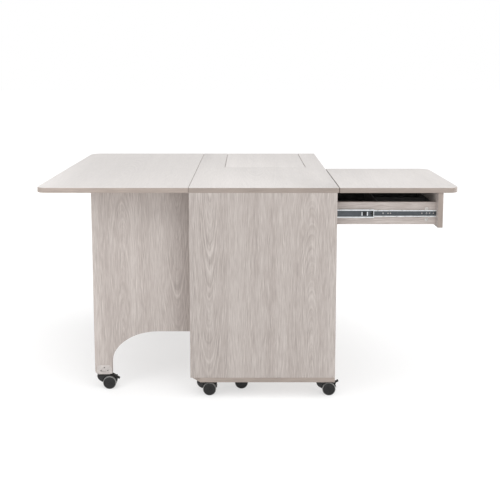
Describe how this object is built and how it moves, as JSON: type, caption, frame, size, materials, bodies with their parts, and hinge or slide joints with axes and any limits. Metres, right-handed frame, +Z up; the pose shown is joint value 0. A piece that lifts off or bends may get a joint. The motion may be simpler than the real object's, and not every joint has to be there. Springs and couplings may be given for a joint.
{
  "type": "sewing table",
  "caption": "Sewing cabinet on castors with a flip-over rear leaf on swing-out gate legs, a smaller user leaf over a pulled-out drawer, and a lift-off board over a machine lift.",
  "frame": {"origin": "floor point under the middle of the opened table", "axes": "+X towards the user leaf and drawer, +Y along the cabinet away from its near end panel, +Z up"},
  "size_m": [1.5256, 1.02, 0.79],
  "materials": {
    "oak_board": "matt grey-washed oak decor",
    "top_board": "satin pale grey-washed oak decor",
    "thin_board": "matt",
    "brass": "satin",
    "zinc_steel": "zinc plated",
    "plated_steel": "nickel plated",
    "bracket_grey": "satin light grey",
    "cam_caps": "matt light grey",
    "black_steel": "satin black",
    "bright_steel": "polished",
    "tray_black": "matt black",
    "stop_black": "satin black",
    "castor_black": "satin black",
    "castor_wheel": "matt black"
  },
  "bodies": {
    "root": {"back_panel": "oak_board", "base_board": "oak_board", "carcass_cams": "cam_caps", "castor_plates": "black_steel", "cover_cleats": "oak_board", "far_end_panel": "oak_board", "gate_hinge_plates": "plated_steel", "leaf_hinge_sockets": "brass", "lift_rails": "black_steel", "main_top": "top_board", "near_end_panel": "oak_board", "partition": "oak_board", "slide_cabinet_rails": "zinc_steel", "strut_cylinder": "black_steel"},
    "rear_leaf": {"rear_leaf": "top_board", "rear_leaf_barrels": "brass"},
    "user_leaf": {"user_leaf": "top_board", "user_leaf_barrels": "brass"},
    "drawer": {"drawer_front": "oak_board", "drawer_near_side": "oak_board", "drawer_far_side": "oak_board", "drawer_back": "oak_board", "drawer_bottom": "thin_board", "drawer_tray": "tray_black", "drawer_cams": "cam_caps", "slide_drawer_rails": "zinc_steel"},
    "slide_middle": {"slide_middle_rails": "zinc_steel", "slide_end_stops": "stop_black"},
    "near_gate": {"near_gate_panel": "oak_board", "near_gate_hinges": "plated_steel", "near_gate_bracket": "bracket_grey", "near_gate_bracket_screws": "plated_steel"},
    "far_gate": {"far_gate_panel": "oak_board", "far_gate_hinges": "plated_steel", "far_gate_bracket": "bracket_grey", "far_gate_bracket_screws": "plated_steel"},
    "lift": {"lift_platform": "oak_board", "lift_carriages": "black_steel", "strut_rod": "bright_steel"},
    "cover": {"machine_cover": "top_board"},
    "near_rear_swivel": {"near_rear_castor_hood": "castor_black"},
    "near_rear_roll": {"near_rear_castor_wheels": "castor_wheel"},
    "near_rear_pedal": {"near_rear_castor_brake": "castor_black"},
    "near_user_swivel": {"near_user_castor_hood": "castor_black"},
    "near_user_roll": {"near_user_castor_wheels": "castor_wheel"},
    "near_user_pedal": {"near_user_castor_brake": "castor_black"},
    "far_rear_swivel": {"far_rear_castor_hood": "castor_black"},
    "far_rear_roll": {"far_rear_castor_wheels": "castor_wheel"},
    "far_rear_pedal": {"far_rear_castor_brake": "castor_black"},
    "far_user_swivel": {"far_user_castor_hood": "castor_black"},
    "far_user_roll": {"far_user_castor_wheels": "castor_wheel"},
    "far_user_pedal": {"far_user_castor_brake": "castor_black"},
    "inner_swivel": {"inner_castor_hood": "castor_black"},
    "inner_roll": {"inner_castor_wheels": "castor_wheel"},
    "near_gate_swivel": {"near_gate_castor_hood": "castor_black"},
    "near_gate_roll": {"near_gate_castor_wheels": "castor_wheel"},
    "near_gate_pedal": {"near_gate_castor_brake": "castor_black"},
    "far_gate_swivel": {"far_gate_castor_hood": "castor_black"},
    "far_gate_roll": {"far_gate_castor_wheels": "castor_wheel"},
    "far_gate_pedal": {"far_gate_castor_brake": "castor_black"}
  },
  "joints": [
    {"name": "rear_leaf_flip", "type": "hinge", "parent": "root", "child": "rear_leaf", "pos_m": [-0.212, 0, 0.7905], "axis": [0, 1, 0], "range_deg": [0, 180]},
    {"name": "user_leaf_flip", "type": "hinge", "parent": "root", "child": "user_leaf", "pos_m": [0.33125, -0.265, 0.7905], "axis": [0, 1, 0], "range_deg": [-180, 0]},
    {"name": "near_gate_swing", "type": "hinge", "parent": "root", "child": "near_gate", "pos_m": [-0.19015, -0.4011, 0.4], "axis": [0, 0, -1], "range_deg": [0, 90]},
    {"name": "far_gate_swing", "type": "hinge", "parent": "root", "child": "far_gate", "pos_m": [-0.19015, 0.4011, 0.4], "axis": [0, 0, 1], "range_deg": [0, 90]},
    {"name": "drawer_slide", "type": "slide", "parent": "root", "child": "drawer", "axis": [1, 0, 0], "range_m": [-0.362, 0]},
    {"name": "slide_middle_travel", "type": "slide", "parent": "root", "child": "slide_middle", "axis": [1, 0, 0], "range_m": [-0.13756, 0]},
    {"name": "machine_lift", "type": "slide", "parent": "root", "child": "lift", "axis": [0, 0, 1], "range_m": [0, 0.28]},
    {"name": "cover_lift_off", "type": "slide", "parent": "root", "child": "cover", "axis": [0, 0, -1], "range_m": [-0.06, 0]},
    {"name": "near_rear_castor_swivel", "type": "hinge", "parent": "root", "child": "near_rear_swivel", "pos_m": [-0.16125, -0.468, 0.056], "axis": [0, 0, 1], "continuous": true},
    {"name": "near_rear_castor_roll", "type": "hinge", "parent": "near_rear_swivel", "child": "near_rear_roll", "pos_m": [-0.14125, -0.468, 0.025], "axis": [0, 1, 0], "continuous": true},
    {"name": "near_rear_castor_brake", "type": "hinge", "parent": "near_rear_swivel", "child": "near_rear_pedal", "pos_m": [-0.11789, -0.468, 0.0446], "axis": [0, 1, 0], "range_deg": [0, 60]},
    {"name": "near_user_castor_swivel", "type": "hinge", "parent": "root", "child": "near_user_swivel", "pos_m": [0.28475, -0.468, 0.056], "axis": [0, 0, 1], "continuous": true},
    {"name": "near_user_castor_roll", "type": "hinge", "parent": "near_user_swivel", "child": "near_user_roll", "pos_m": [0.30475, -0.468, 0.025], "axis": [0, 1, 0], "continuous": true},
    {"name": "near_user_castor_brake", "type": "hinge", "parent": "near_user_swivel", "child": "near_user_pedal", "pos_m": [0.32811, -0.468, 0.0446], "axis": [0, 1, 0], "range_deg": [0, 60]},
    {"name": "far_rear_castor_swivel", "type": "hinge", "parent": "root", "child": "far_rear_swivel", "pos_m": [-0.16125, 0.468, 0.056], "axis": [0, 0, 1], "continuous": true},
    {"name": "far_rear_castor_roll", "type": "hinge", "parent": "far_rear_swivel", "child": "far_rear_roll", "pos_m": [-0.14125, 0.468, 0.025], "axis": [0, 1, 0], "continuous": true},
    {"name": "far_rear_castor_brake", "type": "hinge", "parent": "far_rear_swivel", "child": "far_rear_pedal", "pos_m": [-0.11789, 0.468, 0.0446], "axis": [0, 1, 0], "range_deg": [0, 60]},
    {"name": "far_user_castor_swivel", "type": "hinge", "parent": "root", "child": "far_user_swivel", "pos_m": [0.28475, 0.468, 0.056], "axis": [0, 0, 1], "continuous": true},
    {"name": "far_user_castor_roll", "type": "hinge", "parent": "far_user_swivel", "child": "far_user_roll", "pos_m": [0.30475, 0.468, 0.025], "axis": [0, 1, 0], "continuous": true},
    {"name": "far_user_castor_brake", "type": "hinge", "parent": "far_user_swivel", "child": "far_user_pedal", "pos_m": [0.32811, 0.468, 0.0446], "axis": [0, 1, 0], "range_deg": [0, 60]},
    {"name": "inner_castor_swivel", "type": "hinge", "parent": "root", "child": "inner_swivel", "pos_m": [-0.04225, -0.41, 0.056], "axis": [0, 0, 1], "continuous": true},
    {"name": "inner_castor_roll", "type": "hinge", "parent": "inner_swivel", "child": "inner_roll", "pos_m": [-0.02225, -0.41, 0.025], "axis": [0, 1, 0], "continuous": true},
    {"name": "near_gate_castor_swivel", "type": "hinge", "parent": "near_gate", "child": "near_gate_swivel", "pos_m": [-0.5445, -0.413, 0.056], "axis": [0, 0, 1], "continuous": true},
    {"name": "near_gate_castor_roll", "type": "hinge", "parent": "near_gate_swivel", "child": "near_gate_roll", "pos_m": [-0.5245, -0.413, 0.025], "axis": [0, 1, 0], "continuous": true},
    {"name": "near_gate_castor_brake", "type": "hinge", "parent": "near_gate_swivel", "child": "near_gate_pedal", "pos_m": [-0.50114, -0.413, 0.0446], "axis": [0, 1, 0], "range_deg": [-60, 0]},
    {"name": "far_gate_castor_swivel", "type": "hinge", "parent": "far_gate", "child": "far_gate_swivel", "pos_m": [-0.5445, 0.413, 0.056], "axis": [0, 0, 1], "continuous": true},
    {"name": "far_gate_castor_roll", "type": "hinge", "parent": "far_gate_swivel", "child": "far_gate_roll", "pos_m": [-0.5645, 0.413, 0.025], "axis": [0, 1, 0], "continuous": true},
    {"name": "far_gate_castor_brake", "type": "hinge", "parent": "far_gate_swivel", "child": "far_gate_pedal", "pos_m": [-0.58786, 0.413, 0.0446], "axis": [0, -1, 0], "range_deg": [-60, 0]}
  ],
  "couplings": [
    {"joint": "slide_middle_travel", "follows": "drawer_slide", "ratio": 0.38}
  ]
}
